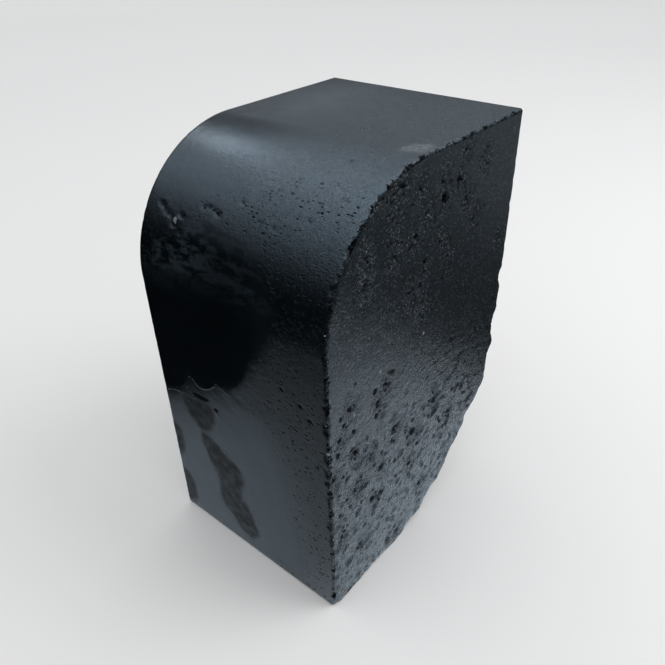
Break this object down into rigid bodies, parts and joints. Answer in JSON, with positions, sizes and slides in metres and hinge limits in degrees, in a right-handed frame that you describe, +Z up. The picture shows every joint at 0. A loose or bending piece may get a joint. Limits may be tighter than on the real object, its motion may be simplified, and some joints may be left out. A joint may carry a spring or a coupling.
{
  "type": "paver edge kerb",
  "caption": "Concrete kerb block for the edge of block paving, with a large bullnose on the top front edge and a 45 degree splay on the lower rear edge.",
  "frame": {"origin": "on the ground, under the middle of the bounding box of the block as it stands on its foot", "axes": "+X along the kerb line, -Y out of the exposed front face, +Z up"},
  "size_m": [0.1, 0.127, 0.19],
  "materials": {
    "concrete": "charcoal black pressed concrete, smooth semi-gloss moulded faces and open-textured rough end faces"
  },
  "bodies": {
    "root": {"kerb_block": "concrete"}
  },
  "joints": []
}
